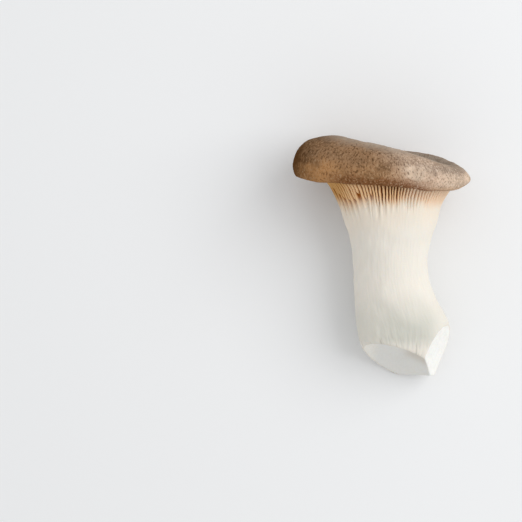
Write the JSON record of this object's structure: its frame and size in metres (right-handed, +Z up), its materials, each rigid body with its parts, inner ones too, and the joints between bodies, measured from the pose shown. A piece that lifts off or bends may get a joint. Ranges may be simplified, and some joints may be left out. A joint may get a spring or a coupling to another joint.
{
  "type": "king oyster mushroom",
  "caption": "Whole king oyster mushroom lying on its side: thick brown cap with a rolled edge, gills running down under it, pale stem and a swollen foot trimmed with a knife.",
  "frame": {"origin": "on the surface that the mushroom lies on, under the middle of its box", "axes": "+Y from the cut foot to the cap, +X towards the cap's thin side, +Z up from the surface"},
  "size_m": [0.0675, 0.0923, 0.0497],
  "materials": {
    "flesh": "matt mushroom flesh: mottled brown skin on the cap, tan gills, cream stem, grey-white where it is cut"
  },
  "bodies": {
    "root": {"mushroom": "flesh"}
  },
  "joints": []
}
